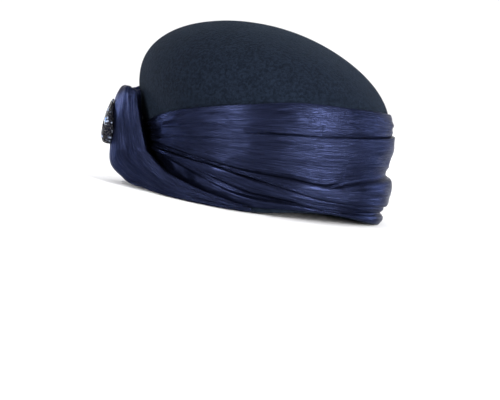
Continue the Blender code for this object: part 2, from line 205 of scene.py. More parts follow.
# Heights are shares of BAND_HEIGHT, the foot's above the felt's edge, and each
# standoff is a share of PLEAT_DEPTH. A fold is 1 where the lower pleat laps up over
# the upper one, -1 where the upper one hangs over the lower, and 0 at a plain crease.
# A row holds a section's values in their order.
BandSection = namedtuple(
    "BandSection",
    "azimuth top lip roll step tuck foot lip_out roll_out step_out tuck_out "
    "lip_fold roll_fold step_fold tuck_fold tuck_groove",
)
BAND_SECTIONS = (
    (-229, 0.60, 0.49, 0.455, 0.420, 0.34, 0.070, 0.33, 0.32, 0.33, 0.32, 0.2, 0.1, 0, 0, 0.2),
    (-205, 0.68, 0.52, 0.435, 0.375, 0.27, 0.035, 0.36, 0.38, 0.44, 0.42, 0.5, 0.2, -0.1, 0, 0.1),
    (-175, 0.80, 0.59, 0.410, 0.305, 0.17, 0.012, 0.42, 0.55, 0.58, 0.53, 0.8, 0.3, -0.2, 0, 0),
    (-145, 0.89, 0.66, 0.410, 0.250, 0.13, 0.006, 0.50, 0.75, 0.60, 0.52, 1, 0.3, -0.5, 0, 0),
    (-110, 0.94, 0.73, 0.420, 0.205, 0.10, 0.006, 0.60, 0.92, 0.58, 0.51, 1, 0.3, -0.8, 0, 0),
    (-75, 0.97, 0.77, 0.420, 0.180, 0.09, 0.006, 0.67, 0.99, 0.57, 0.50, 1, 0.2, -0.9, 0, 0),
    (-42, 0.98, 0.785, 0.420, 0.170, 0.09, 0.006, 0.69, 1.00, 0.56, 0.50, 1, 0, -0.9, 0, 0),
    (-12, 1.00, 0.76, 0.388, 0.185, 0.10, 0.006, 0.65, 0.98, 0.60, 0.48, 1, 0, -0.9, 0, 0),
    (0, 1.00, 0.745, 0.345, 0.192, 0.105, 0.006, 0.61, 0.95, 0.60, 0.48, 1, 0, -0.9, 0, 0),
    (9, 1.00, 0.731, 0.318, 0.200, 0.11, 0.007, 0.56, 0.90, 0.54, 0.47, 1, 0.9, -0.8, 0, 0),
    (24, 0.978, 0.707, 0.341, 0.240, 0.14, 0.027, 0.50, 0.78, 0.54, 0.45, 1, 0.9, -0.6, 0, 0.1),
    (36, 0.93, 0.688, 0.345, 0.285, 0.148, 0.041, 0.46, 0.60, 0.60, 0.46, 0.6, 0.8, -0.4, 0.2, 0.3),
    (43, 0.903, 0.676, 0.350, 0.307, 0.16, 0.049, 0.46, 0.53, 0.66, 0.42, 0, 0.7, -0.2, 0.3, 0.7),
    (54, 0.858, 0.653, 0.369, 0.341, 0.20, 0.062, 0.44, 0.42, 0.76, 0.32, 0, 0.7, 0.2, 0, 1),
    (70, 0.795, 0.614, 0.398, 0.367, 0.27, 0.070, 0.44, 0.39, 0.76, 0.27, 0, 0.7, 0.2, 0, 1),
    (88, 0.712, 0.563, 0.420, 0.386, 0.33, 0.070, 0.32, 0.32, 0.66, 0.25, 0, 0.6, 0.2, 0, 0.9),
    (108, 0.62, 0.517, 0.426, 0.398, 0.352, 0.070, 0.20, 0.22, 0.30, 0.20, 0.2, 0.2, 0, 0.2, 0.3),
)

# The six points that run through a fold from the upper pleat to the lower one: their
# height above the crease in millimetres, and how far they have gone from the upper
# pleat's standoff to the lower one's, at a plain crease, a lap and an overhang. Then
# their shares of a groove and of its shallow lower end, the steps that lead to them,
# and how much they wrinkle.
FoldPoint = namedtuple(
    "FoldPoint",
    "plain_height lap_height hang_height plain_way lap_way hang_way sink trail steps wrinkle",
)
FOLD_POINTS = (
    FoldPoint(3.2, 1.5, 0.9, 0, 0, 0, 0, 0, 5, 0.5),
    FoldPoint(1.8, -0.9, -0.5, 0.1, -0.1, 0.25, 1, 0, 2, 0),
    FoldPoint(0.6, -2.8, 0.5, 0.3, 0.05, 0.55, 1, 0, 2, 0),
    FoldPoint(-0.6, -0.8, 2.8, 0.7, 0.4, 0.95, 1, 0, 2, 0),
    FoldPoint(-1.8, 0.4, 0.8, 0.9, 0.72, 1.1, 0, 0.5, 2, 0),
    FoldPoint(-3.2, -1.0, -1.5, 1, 1, 1, 0, 0, 2, 0.5),
)
MILLIMETRE = 0.001

# Two points down a pleat's face: how far down it and how far in they are, and their
# share of its bulge.
PleatPoint = namedtuple("PleatPoint", "down sink bulge")
PLEAT_POINTS = (PleatPoint(0.32, 0.25, 1), PleatPoint(0.68, 0.75, 0.8))
PLEAT_STEPS = 5

# A point of the band's section, with the steps that lead to it and how much it wrinkles.
BandPoint = namedtuple("BandPoint", "height out steps wrinkle")

# Heights are shares of TWIST_HEIGHT and standoffs are shares of TWIST_DEPTH. A row is
# a section of the strip, from its point on the rim to the fold at its top: its edge
# over the band, its rounded ridge and its outer corner. upright is 0 where the strip
# lies along the rim with its far edge tucked under, and 1 where it stands.
TwistSection = namedtuple(
    "TwistSection",
    "edge_azimuth edge_height edge_out ridge_azimuth ridge_height ridge_out "
    "corner_azimuth corner_height corner_out upright",
)
TWIST_SECTIONS = (
    TwistSection(41, 0.050, 0.10, 41, 0.042, 0.115, 41, 0.034, 0.10, 0.0),
    TwistSection(49, 0.078, 0.14, 50, 0.054, 0.19, 50, 0.028, 0.19, 0.0),
    TwistSection(66, 0.13, 0.18, 68, 0.085, 0.28, 68, 0.025, 0.29, 0.0),
    TwistSection(82, 0.20, 0.21, 86, 0.13, 0.37, 89, 0.03, 0.42, 0.0),
    TwistSection(90, 0.245, 0.22, 96, 0.195, 0.44, 102, 0.06, 0.52, 0.1),
    TwistSection(100, 0.35, 0.26, 106, 0.295, 0.53, 113, 0.09, 0.78, 0.4),
    TwistSection(103, 0.40, 0.30, 110, 0.37, 0.54, 121, 0.22, 0.97, 0.8),
    TwistSection(103, 0.54, 0.31, 112, 0.505, 0.53, 121, 0.415, 0.87, 1.0),
    TwistSection(104, 0.68, 0.30, 111, 0.675, 0.49, 121, 0.63, 0.75, 1.0),
    TwistSection(105, 0.815, 0.27, 111, 0.81, 0.44, 121, 0.79, 0.62, 1.0),
    TwistSection(108, 0.915, 0.22, 113, 0.93, 0.38, 121, 0.915, 0.48, 1.0),
    TwistSection(114, 0.965, 0.16, 118, 0.99, 0.26, 123, 0.975, 0.33, 1.0),
    TwistSection(118, 0.85, 0.05, 121, 0.86, 0.05, 125, 0.87, 0.05, 1.0),
)


def heading(azimuth):
    """Level unit vector that points out of the hat at an azimuth."""
    turn = math.radians(azimuth)
    return Vector((-math.sin(turn), -math.cos(turn), 0))


def mix(first, second, share):
    """What lies a share of the way from the first to the second."""
    return first + (second - first) * share


def crown_points(azimuth, height, out=0.0, inset=0.0):
    """Points outside the felt's outer face by out, or on a face inset into it, as an array."""
    azimuth, height, out, inset = np.broadcast_arrays(azimuth, height, out, inset)
    rise = np.clip(height / SHOULDER_HEIGHT, 0, 1)
    # The wall swells fastest low down, and its swell is full at the shoulder.
    swell = CROWN_SWELL * rise * (1 + 4 * rise - 3 * rise * rise) / 2
    above = height - SHOULDER_HEIGHT
    over = np.clip(above / (CROWN_HEIGHT - inset - SHOULDER_HEIGHT), 0, 1)
    dome = np.sqrt(1 - over * over)
    half_length = np.maximum((RIM_HALF_LENGTH + swell - inset) * dome, POLE_RADIUS)
    half_width = np.maximum((RIM_HALF_WIDTH + swell - inset) * dome, POLE_RADIUS)
    turn = np.radians(azimuth)
    reach = 1 / np.hypot(np.sin(turn) / half_width, np.cos(turn) / half_length)
    far = np.clip(above / (CROWN_HEIGHT - SHOULDER_HEIGHT), 0, 1)
    lean = height * math.tan(math.radians(WALL_LEAN)) + TOP_LEAN * far * far * (3 - 2 * far)
    way = heading(LEAN_AZIMUTH)
    x = way.x * lean - np.sin(turn) * (reach + out)
    y = way.y * lean - np.cos(turn) * (reach + out)
    return np.stack([x, y, height], axis=-1)


def hat_middle():
    """Where the rim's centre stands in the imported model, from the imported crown's box."""
    heights = np.linspace(0, CROWN_HEIGHT, BOX_STEPS)
    left = crown_points(90, heights)[:, 0].min()
    front = crown_points(0, heights)[:, 1].min()
    low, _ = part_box("crown")
    return np.array([low.x - left, low.y - front, 0])


def rim_height(azimuth):
    """The felt's edge is level but for a low arch over the forehead."""
    away = np.abs((azimuth - ARCH_AZIMUTH + 180) % 360 - 180)
    arch = np.cos(np.pi / 2 * np.minimum(away / ARCH_HALF_ANGLE, 1)) ** 2
    return ARCH_RISE * arch


def spline(before, start, end, after, share):
    """Catmull-Rom value between start and end."""
    square = share * share
    cube = square * share
    return (
        start * 2
        + (end - before) * share
        + (before * 2 - start * 5 + end * 4 - after) * square
        + (start * 3 - before - end * 3 + after) * cube
    ) * 0.5


def smooth_line(points, steps):
    """Smooth line through rows of points, with so many steps between each two rows."""
    chords = np.maximum(np.linalg.norm(np.diff(points, axis=0), axis=-1), LEAST_CHORD)
    chords = np.sqrt(chords)[..., None]
    last = len(points) - 1
    rows = [points[0]]
    for i in range(last):
        before, start, end, after = (points[min(max(i + k, 0), last)] for k in (-1, 0, 1, 2))
        here = chords[i]
        ahead = chords[min(i + 1, last - 1)]
        behind = chords[max(i - 1, 0)]
        leave = end - start
        arrive = end - start
        if i > 0:
            turn_in = (start - before) / behind - (end - before) / (behind + here)
            leave = (turn_in + (end - start) / here) * here
        if i < last - 1:
            turn_out = (after - end) / ahead - (after - start) / (here + ahead)
            arrive = ((end - start) / here + turn_out) * here
        for step in range(1, steps[i] + 1):
            t = step / steps[i]
            rows.append(
                start * (1 - 3 * t * t + 2 * t**3)
                + leave * (t - 2 * t * t + t**3)
                + arrive * (t**3 - t * t)
                + end * (3 * t * t - 2 * t**3)
            )
    return np.array(rows)


def normals_of(points, closed):
    """Outward normals of a grid of points whose rows run across and whose columns run round."""
    if closed:
        round_it = np.roll(points, -1, axis=1) - np.roll(points, 1, axis=1)
    else:
        round_it = np.gradient(points, axis=1)
    normals = np.cross(round_it, np.gradient(points, axis=0))
    lengths = np.linalg.norm(normals, axis=-1, keepdims=True)
    return normals / np.maximum(lengths, LEAST_NORMAL)


def noise_over(across, along, seed, octaves=3):
    """Noise between about -1 and 1 over two grids of coordinates."""
    spots = np.stack([along.ravel(), across.ravel(), np.full(along.size, seed)], axis=-1)
    values = [noise.fractal(Vector(spot), NOISE_FALLOFF, NOISE_STEP, octaves) for spot in spots]
    return np.array(values).reshape(along.shape)


def grid_piece(name, points, closed, uv):
    """Object of a grid primitive whose vertices are moved to the points, with its UV map."""
    rows, columns = points.shape[:2]
    bpy.ops.object.select_all(action="DESELECT")
    bpy.ops.mesh.primitive_grid_add(x_subdivisions=columns - 1, y_subdivisions=rows - 1, size=2)
    piece = bpy.context.object
    piece.name = name
    mesh = piece.data
    flat = np.empty(len(mesh.vertices) * 3)
    mesh.vertices.foreach_get("co", flat)
    flat = flat.reshape(-1, 3)
    column = np.rint((flat[:, 0] + 1) / 2 * (columns - 1)).astype(int)
    row = np.rint((flat[:, 1] + 1) / 2 * (rows - 1)).astype(int)
    mesh.vertices.foreach_set("co", points[row, column].ravel())
    corners = np.empty(len(mesh.loops), int)
    mesh.loops.foreach_get("vertex_index", corners)
    mesh.uv_layers.active.data.foreach_set("uv", uv[row[corners], column[corners]].ravel())
    mesh.update()
    if closed:
        seal(piece)
    smooth_faces(mesh)
    return piece


def smooth_faces(mesh):
    for polygon in mesh.polygons:
        polygon.use_smooth = True


def seal(piece):
    """Merges the vertices that meet at seams and poles."""
    bm = bmesh.new()
    bm.from_mesh(piece.data)
    bmesh.ops.remove_doubles(bm, verts=bm.verts, dist=MERGE_REACH)
    bm.to_mesh(piece.data)
    bm.free()


def thicken(piece, wall):
    """Gives a sheet its wall, on the side away from its faces."""
    modifier = piece.modifiers.new("wall", "SOLIDIFY")
    modifier.thickness = wall
    modifier.offset = -1
    bpy.ops.object.select_all(action="DESELECT")
    bpy.context.view_layer.objects.active = piece
    bpy.ops.object.modifier_apply(modifier=modifier.name)


# Felt crown


def crown_profile(azimuth):
    """Heights and insets down the inside, round the cut edge and up the outside."""
    rim = rim_height(azimuth)
    half = FELT_WALL / 2
    inner_dome = CROWN_HEIGHT - FELT_WALL - SHOULDER_HEIGHT
    outer_dome = CROWN_HEIGHT - SHOULDER_HEIGHT
    rows = []
    for turn in np.radians(np.linspace(90, 0, INNER_DOME_ROWS, endpoint=False)):
        rows.append((SHOULDER_HEIGHT + inner_dome * np.sin(turn), FELT_WALL))
    for share in np.linspace(1, 0, INNER_WALL_ROWS, endpoint=False):
        rows.append((mix(rim + half, SHOULDER_HEIGHT, share), FELT_WALL))
    for turn in np.radians(np.linspace(0, 180, CUT_EDGE_ROWS)):
        side = math.copysign(abs(math.cos(turn)) ** CUT_EDGE_SQUARENESS, math.cos(turn))
        rise = half * (1 - math.sin(turn) ** CUT_EDGE_SQUARENESS)
        rows.append((rim + rise, half + half * side))
    for share in np.linspace(0, 1, OUTER_WALL_ROWS)[1:]:
        rows.append((mix(rim + half, SHOULDER_HEIGHT, share), 0))
    for turn in np.radians(np.linspace(0, 90, OUTER_DOME_ROWS))[1:]:
        rows.append((SHOULDER_HEIGHT + outer_dome * np.sin(turn), 0))
    heights = np.array([np.broadcast_to(height, azimuth.shape) for height, _ in rows])
    insets = np.array([np.broadcast_to(inset, azimuth.shape) for _, inset in rows])
    return heights, insets


def make_crown(middle):
    """The felt shell, its outer face a little wavy."""
    azimuth = np.linspace(0, 360, CROWN_COLUMNS + 1)
    heights, insets = crown_profile(azimuth)
    points = crown_points(azimuth[None, :], heights, inset=insets)
    round_it = np.broadcast_to(azimuth / 360 * UV_ROUND_CROWN, heights.shape)
    uv = np.stack([round_it, heights * UV_PER_METRE], axis=-1)
    level = (points[..., 0] + 2 * points[..., 1]) * FELT_WAVES_LEVEL
    waves = noise_over(points[..., 2] * FELT_WAVES_UP, level, seed=3.0, octaves=2)
    shell = np.where(insets > 0, 0, 1) * np.clip((CROWN_HEIGHT - heights) / CALM_TOP, 0, 1)
    outward = points - points.mean(axis=(0, 1))
    outward /= np.linalg.norm(outward, axis=-1, keepdims=True)
    points = points + outward * (waves * FELT_WAVES * shell)[..., None]
    points[:, -1] = points[:, 0]
    piece = grid_piece("felt_crown", points + middle, True, uv)
    piece.data.materials.append(felt())
    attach(piece, "root")
    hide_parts("crown")


# Silk band


def band_sections(azimuth):
    """The table's columns at each azimuth, smooth through its rows."""
    table = np.array(BAND_SECTIONS)
    start = table[:, 0]
    count = len(table)
    turn = start[0] + (azimuth - start[0]) % 360
    here = np.searchsorted(start, turn, side="right") - 1
    after = (here + 1) % count
    before = (here - 1) % count
    beyond = (here + 2) % count
    gap = (start[after] - start[here]) % 360
    gap_before = ((start[here] - start[before]) % 360)[:, None]
    gap_beyond = ((start[beyond] - start[after]) % 360)[:, None]
    share = ((turn - start[here]) / gap)[:, None]
    gap = gap[:, None]
    low, high = table[here], table[after]
    first = low - (low - table[before]) * gap / gap_before
    last = high + (table[beyond] - high) * gap / gap_beyond
    return BandSection(*spline(first, low, high, last, share).T)


def fold_points(crease, fold, groove, low, below, narrower):
    """Points of a fold, from the upper pleat's standoff low to the lower one's below."""
    lap = np.clip(fold, 0, 1)
    hang = np.clip(-fold, 0, 1)
    firm = np.minimum(1, PLAIN_FIRMNESS + lap + hang)
    room = np.minimum(1, narrower / FOLD_ROOM)
    plain_reach = FOLD_POINTS[0].plain_height * MILLIMETRE
    plain_room = np.minimum(1, PLAIN_FOLD_SHARE * narrower / plain_reach) / room
    points = []
    for point in FOLD_POINTS:
        sunk = (GROOVE * firm + DEEP_GROOVE * groove) * point.sink * (1 - HANG_FILL * hang)
        sunk = sunk + DEEP_GROOVE * point.trail * groove
        plain_height = point.plain_height * plain_room
        height = (
            plain_height
            + lap * (point.lap_height - plain_height)
            + hang * (point.hang_height - plain_height)
        )
        way = (
            point.plain_way
            + lap * (point.lap_way - point.plain_way)
            + hang * (point.hang_way - point.plain_way)
        )
        out = np.maximum(mix(low, below, way) - sunk, LYING * HEM_SHARE)
        place = crease + height * MILLIMETRE * room
        points.append(BandPoint(place, out, point.steps, point.wrinkle))
    return points


def band_points(azimuth):
    """Points of the band's section at each azimuth, from the hem at the top to the foot's."""
    row = band_sections(azimuth)
    foot = rim_height(azimuth) + row.foot * BAND_HEIGHT
    top = row.top * BAND_HEIGHT
    creases = [top]
    creases += [share * BAND_HEIGHT for share in (row.lip, row.roll, row.step, row.tuck)]
    creases.append(foot)
    shares = (row.lip_out, row.roll_out, row.step_out, row.tuck_out)
    outs = [share * PLEAT_DEPTH for share in shares]
    outs = [np.minimum(BAND_STAND, outs[0])] + outs
    folds = (row.lip_fold, row.roll_fold, row.step_fold, row.tuck_fold)
    grooves = (0, 0, row.tuck_groove * STEP_GROOVE_SHARE, row.tuck_groove)
    inside = LYING * HEM_SHARE
    # Up the hem behind the top edge and round it to the outer face.
    points = [
        BandPoint(top - HEM_TURN, inside, 0, 0),
        BandPoint(top - TOP_ROUND_INSIDE, inside * 1.5, 2, 0),
        BandPoint(top, mix(LYING, outs[0], 0.4), 3, 0),
        BandPoint(top - TOP_ROUND_OUTSIDE, outs[0] * 0.95, 2, 0.3),
    ]
    lowest = len(outs) - 1
    for k, out in enumerate(outs):
        proud = 1
        if k < lowest:
            below = outs[k + 1]
            proud = np.clip((below - LYING) / (SINK_SHARE * PLEAT_DEPTH), 0, 1)
        low = mix(out, LYING, PLEAT_SINKS[k] * proud)
        tall = creases[k] - creases[k + 1]
        bulge = SOFT_BULGE * np.minimum(1, tall / FULL_PLEAT)
        for point in PLEAT_POINTS:
            height = mix(creases[k], creases[k + 1], point.down)
            face = mix(out, low, point.sink) + bulge * point.bulge
            points.append(BandPoint(height, face, PLEAT_STEPS, 1))
        if k < lowest:
            narrower = np.minimum(tall, creases[k + 1] - creases[k + 2])
            points += fold_points(creases[k + 1], folds[k], grooves[k], low, below, narrower)
    # Round the foot and up the hem behind it.
    points += [
        BandPoint(foot + FOOT_ROUND_OUTSIDE, mix(low, LYING, 0.2), 4, 0.4),
        BandPoint(foot, mix(low, LYING, 0.7), 2, 0),
        BandPoint(foot + FOOT_ROUND_INSIDE, LYING * 0.5, 2, 0),
        BandPoint(foot + HEM_TURN, inside, 2, 0),
    ]
    return points


def band_profile(azimuth):
    """Heights and standoffs down the band at each azimuth, and how much each row wrinkles."""
    points = band_points(azimuth)
    shape = azimuth.shape
    line = [
        np.stack([np.broadcast_to(point.height, shape), np.broadcast_to(point.out, shape)], axis=-1)
        for point in points
    ]
    line = smooth_line(np.array(line), [point.steps for point in points[1:]])
    wrinkles = [points[0].wrinkle]
    for before, after in zip(points, points[1:]):
        for step in range(after.steps):
            wrinkles.append(mix(before.wrinkle, after.wrinkle, (step + 1) / after.steps))
    return line[..., 0], line[..., 1], np.array(wrinkles)


def make_band(middle):
    """The pleated silk, wrinkled most towards its gather."""
    azimuth = np.linspace(0, 360, BAND_COLUMNS + 1)
    heights, outs, wrinkles = band_profile(azimuth)
    points = crown_points(azimuth[None, :], heights, out=outs)
    # Wrinkles keep to the cloth: a row has one place across the silk all the way round.
    across = np.cumsum(np.hypot(*np.gradient(np.stack([heights[:, 0], outs[:, 0]]), axis=1)))
    across = np.broadcast_to(across[:, None], heights.shape)
    along = np.broadcast_to(azimuth[None, :], heights.shape)
    # The gather runs up to both sides of the knot.
    gather = np.exp(-(((along - GATHER_AZIMUTH) / GATHER_REACH) ** 2))
    gather += np.exp(-(((along - 2 * KNOT_AZIMUTH + GATHER_AZIMUTH) / GATHER_REACH) ** 2))
    round_x = np.cos(np.radians(along)) * WRINKLES_ROUND
    round_y = np.sin(np.radians(along)) * WRINKLES_ROUND
    fine_across = across * FINE_WRINKLES_ACROSS + round_y
    fine = noise_over(fine_across, round_x + across * FINE_WRINKLE_SLANT, seed=1.7)
    wide_across = across * WIDE_WRINKLES_ACROSS + round_x
    wide = noise_over(wide_across, round_y - across * WIDE_WRINKLE_SLANT, seed=5.1, octaves=2)
    wrinkle = fine * (BAND_WRINKLE + GATHER_WRINKLE * gather)
    wrinkle = wrinkle + wide * BAND_WRINKLE * WIDE_WRINKLE_SHARE
    points = points + normals_of(points, True) * (wrinkle * wrinkles[:, None])[..., None]
    points[:, -1] = points[:, 0]
    uv = np.stack([along / 360 * UV_ROUND_BAND, across * UV_PER_METRE], axis=-1)
    piece = grid_piece("silk_band", points + middle, True, uv)
    piece.data.materials.append(silk("band_silk"))
    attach(piece, "root")
    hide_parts("band")


# Turned-up silk strip


def twist_controls(row):
    """Points across the strip at one section, from the hem turned under its edge."""
    edge = np.array([row.edge_azimuth, row.edge_height, row.edge_out])
    ridge = np.array([row.ridge_azimuth, row.ridge_height, row.ridge_out])
    corner = np.array([row.corner_azimuth, row.corner_height, row.corner_out])
    hem = HEM_HEIGHT / TWIST_HEIGHT
    lying = TWIST_LYING / TWIST_DEPTH
    mirrored = []
    for point in (corner, ridge, edge):
        azimuth = KNOT_AZIMUTH + FAR_SIDE_NARROWING * (KNOT_AZIMUTH - point[0])
        height = max(2 * corner[1] - point[1], hem)
        mirrored.append(np.array([azimuth, height, point[2]]))
    mirrored[2][2] *= FAR_SIDE_SEAT
    tucked = [np.array([corner[0], hem, mix(lying, corner[2], share)]) for share in TUCK_SHARES]
    far = [mix(low, high, row.upright) for low, high in zip(tucked, mirrored)]
    crest = mix(corner, far[0], 0.5)
    crest[2] = mix(crest[2], crest[2] * CREST_SWELL, row.upright)
    hem_edge = mix(edge, ridge, HEM_SLANT)
    hem_edge[2] = edge[2] - HEM_DEPTH / TWIST_DEPTH
    return [hem_edge, edge, ridge, corner, crest, *far]


def make_twist(middle):
    """The strip, from its point on the rim to the fold at the loop's top."""
    controls = np.array([twist_controls(row) for row in TWIST_SECTIONS])
    # Azimuths are scaled to lengths of cloth, so that the line is even both ways.
    degree = CLOTH_PER_DEGREE / TWIST_DEPTH
    scaled = controls * np.array([degree, 1, 1])
    across = smooth_line(scaled.transpose(1, 0, 2), [TWIST_STEPS_ACROSS] * (controls.shape[1] - 1))
    grid = smooth_line(across.transpose(1, 0, 2), [TWIST_STEPS_ALONG] * (len(controls) - 1))
    heights = np.maximum(grid[..., 1] * TWIST_HEIGHT, HEM_HEIGHT)
    outs = np.maximum(grid[..., 2] * TWIST_DEPTH, TWIST_LYING)
    points = crown_points(grid[..., 0] / degree, heights, out=outs)
    length = np.linalg.norm(np.diff(points, axis=0), axis=-1).mean(axis=1)
    breadth = np.linalg.norm(np.diff(points, axis=1), axis=-1).mean(axis=0)
    along = np.concatenate([[0], np.cumsum(length)])[:, None]
    along = np.broadcast_to(along, heights.shape)
    across = np.concatenate([[0], np.cumsum(breadth)])[None, :]
    across = np.broadcast_to(across, heights.shape)
    fine = noise_over(across * TWIST_WRINKLES_ACROSS, along * TWIST_WRINKLES_ALONG, seed=8.3)
    from_hem = np.minimum(across, across[0, -1] - across)
    calm = np.clip(from_hem / CALM_HEM, CALM_HEM_SHARE, 1) * np.clip(along / CALM_POINT, 0, 1)
    points = points + normals_of(points, False) * (fine * calm * TWIST_WRINKLE)[..., None]
    uv = np.stack([along * UV_PER_METRE, across * UV_PER_METRE], axis=-1)
    piece = grid_piece("silk_twist", points + middle, False, uv)
    face_outwards(piece)
    thicken(piece, SILK_WALL)
    piece.data.materials.append(silk("twist_silk"))
    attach(piece, "root")
    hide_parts("side_twist")


def face_outwards(piece):
    """Turns a sheet's faces so that they look away from the hat's axis."""
    mesh = piece.data
    facing = sum(Vector((p.center.x, p.center.y, 0)).dot(p.normal) * p.area for p in mesh.polygons)
    if facing < 0:
        mesh.flip_normals()


# Brooch


def packed_tree(node):
    """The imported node's faces, for laying pieces on them."""
    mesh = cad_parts[node].data
    points = [vertex.co.copy() for vertex in mesh.vertices]
    return BVHTree.FromPolygons(points, [tuple(polygon.vertices) for polygon in mesh.polygons])


def stone_axes():
    """The stone's middle, and the directions out of, along and up its table."""
    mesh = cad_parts["brooch_stone"].data
    areas = {}
    for polygon in mesh.polygons:
        key = tuple(round(value, 2) for value in polygon.normal)
        areas[key] = areas.get(key, 0) + polygon.area
    # The table and the flat back have the largest areas, and the table looks outwards.
    flats = sorted(areas, key=areas.get)[-2:]
    low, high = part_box("brooch_stone")
    middle = (low + high) / 2
    outward = Vector((middle.x, middle.y, 0))
    out = max((Vector(flat) for flat in flats), key=outward.dot).normalized()
    side = Vector((0, 0, 1)).cross(out).normalized()
    return middle, out, side, out.cross(side)


def add_bead(place, out):
    """One seed bead, as a ball squashed towards what it lies on."""
    bpy.ops.mesh.primitive_uv_sphere_add(
        segments=BEAD_SIDES, ring_count=BEAD_RINGS, radius=BEAD_SIZE / 2
    )
    bead = bpy.context.object
    turn = out.to_track_quat("Z", "Y").to_matrix().to_4x4()
    bead.data.transform(Matrix.Translation(place) @ turn @ Matrix.Diagonal((1, 1, BEAD_SQUASH, 1)))
    return bead


def bead_places():
    """Spots a bead apart all over the pad, but for its back and the stone's seat."""
    pad = packed_tree("brooch_base")
    stone_middle, out, side, up = stone_axes()
    low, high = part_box("brooch_base")
    middle = (low + high) / 2
    corners = [vertex.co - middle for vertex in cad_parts["brooch_base"].data.vertices]
    # Tries are spread evenly over an oval round the pad, and each falls to the pad's face.
    reach = [max(abs(corner.dot(axis)) for corner in corners) for axis in (side, up, out)]
    stone_low, stone_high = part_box("brooch_stone")
    stone_reach = (stone_high.z - stone_low.z) / 2 + BEAD_SIZE * SEAT_MARGIN
    places = []
    for k in range(BEAD_TRIES):
        rise = 1 - 2 * (k + 0.5) / BEAD_TRIES
        turn = k * GOLDEN_TURN
        level = math.sqrt(1 - rise * rise)
        spot = middle + side * level * math.cos(turn) * reach[0] * TRY_REACH
        upward = up * level * math.sin(turn) * reach[1] * TRY_REACH
        spot += upward + out * rise * reach[2] * TRY_REACH
        place, normal, _, _ = pad.find_nearest(spot)
        off = place - stone_middle
        seated = math.hypot(off.dot(side), off.dot(up)) < stone_reach
        if normal.dot(out) < BACK_FACING or seated and normal.dot(out) > SEAT_FACING:
            continue
        if all((place - other).length > BEAD_SIZE * BEAD_SPACING for other, _ in places):
            places.append((place, normal))
    return places


def make_beads():
    """Seed beads laid over the brooch's pad."""
    bpy.ops.object.select_all(action="DESELECT")
    beads = []
    for place, normal in bead_places():
        beads.append(add_bead(place + normal * BEAD_LIFT, normal))
    for bead in beads:
        bead.select_set(True)
    bpy.context.view_layer.objects.active = beads[0]
    bpy.ops.object.join()
    piece = bpy.context.object
    piece.name = "seed_beads"
    bpy.ops.object.shade_smooth()
    piece.data.materials.append(bead_glass())
    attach(piece, "root")


# Materials


class Wire:
    """A node's output, so that a pattern can be written as an expression."""

    def __init__(self, paint, socket):
        self.paint = paint
        self.socket = socket

    def maths(self, operation, first, second):
        return self.paint.node("ShaderNodeMath", {"operation": operation}, {0: first, 1: second})

    def __add__(self, other):
        return self.maths("ADD", self, other)

    def __radd__(self, other):
        return self.maths("ADD", other, self)

    def __sub__(self, other):
        return self.maths("SUBTRACT", self, other)

    def __rsub__(self, other):
        return self.maths("SUBTRACT", other, self)

    def __mul__(self, other):
        return self.maths("MULTIPLY", self, other)

    def __rmul__(self, other):
        return self.maths("MULTIPLY", other, self)


class Paint:
    """A material in the making: its shader's plain values, and one way to add nodes."""

    def __init__(self, name, **values):
        self.material = bpy.data.materials.new(name)
        self.material.use_nodes = True
        self.tree = self.material.node_tree
        self.shader = self.tree.nodes["Principled BSDF"]
        for key, value in values.items():
            self.shader.inputs[key.replace("_", " ").title()].default_value = value

    def node(self, kind, settings=(), sockets=(), output=0):
        """Adds a node: first its settings, then its sockets' values or links."""
        made = self.tree.nodes.new(kind)
        for key, value in dict(settings).items():
            setattr(made, key, value)
        for key, value in dict(sockets).items():
            self.feed(made.inputs[key], value)
        return Wire(self, made.outputs[output])

    def feed(self, socket, value):
        """Links a pattern to a socket, or sets the socket's own value."""
        if isinstance(value, Wire):
            self.tree.links.new(value.socket, socket)
        else:
            socket.default_value = value

    def shade(self, name, value):
        self.feed(self.shader.inputs[name], value)

    def object_place(self):
        """Places on the piece, in metres."""
        return self.node("ShaderNodeTexCoord", output="Object")

    def cloth_place(self, along, across):
        """Places on the cloth, scaled along it and across it."""
        place = self.node("ShaderNodeTexCoord", output="UV")
        return self.node("ShaderNodeMapping", {}, {"Vector": place, "Scale": (along, across, 1)})

    def noise(self, vector, scale, detail, roughness):
        sockets = {"Vector": vector, "Scale": scale, "Detail": detail, "Roughness": roughness}
        return self.node("ShaderNodeTexNoise", {}, sockets)

    def blend(self, factor, first, second):
        """The first colour where the factor is 0, and the second where it is 1."""
        # These are the node's factor, its two colours and the colour that it gives.
        sockets = {0: factor, 6: first, 7: second}
        return self.node("ShaderNodeMix", {"data_type": "RGBA"}, sockets, output=2)

    def spread(self, value, contrast):
        """The same pattern with more contrast, kept between 0 and 1."""
        wide = (value - 0.5) * contrast + 0.5
        return self.node("ShaderNodeClamp", {}, {"Value": wide})

    def bump(self, height, distance, strength):
        sockets = {"Height": height, "Distance": distance, "Strength": strength}
        self.shade("Normal", self.node("ShaderNodeBump", {}, sockets))


def felt():
    """Wool felt: matt, with a fine nap and faint cloudy patches."""
    paint = Paint("wool_felt", roughness=1.0, sheen_weight=0.03, sheen_roughness=0.4)
    paint.shade("Sheen Tint", (0.45, 0.62, 0.85, 1))
    paint.shade("Specular IOR Level", 0.03)
    place = paint.object_place()
    nap = paint.spread(paint.noise(place, scale=900, detail=3, roughness=0.65), contrast=2.2)
    tufts = paint.spread(paint.noise(place, scale=430, detail=3, roughness=0.6), contrast=4.4)
    cloud = paint.noise(place, scale=70, detail=4, roughness=0.6)
    tone = nap * 0.35 + tufts * 0.4 + cloud * 0.25
    dark = (0.0004, 0.0010, 0.0024, 1)
    light = (0.0096, 0.0146, 0.0255, 1)
    paint.shade("Base Color", paint.blend(tone, dark, light))
    paint.bump(nap + tufts + cloud * 1.5, distance=0.0004, strength=0.6)
    return paint.material


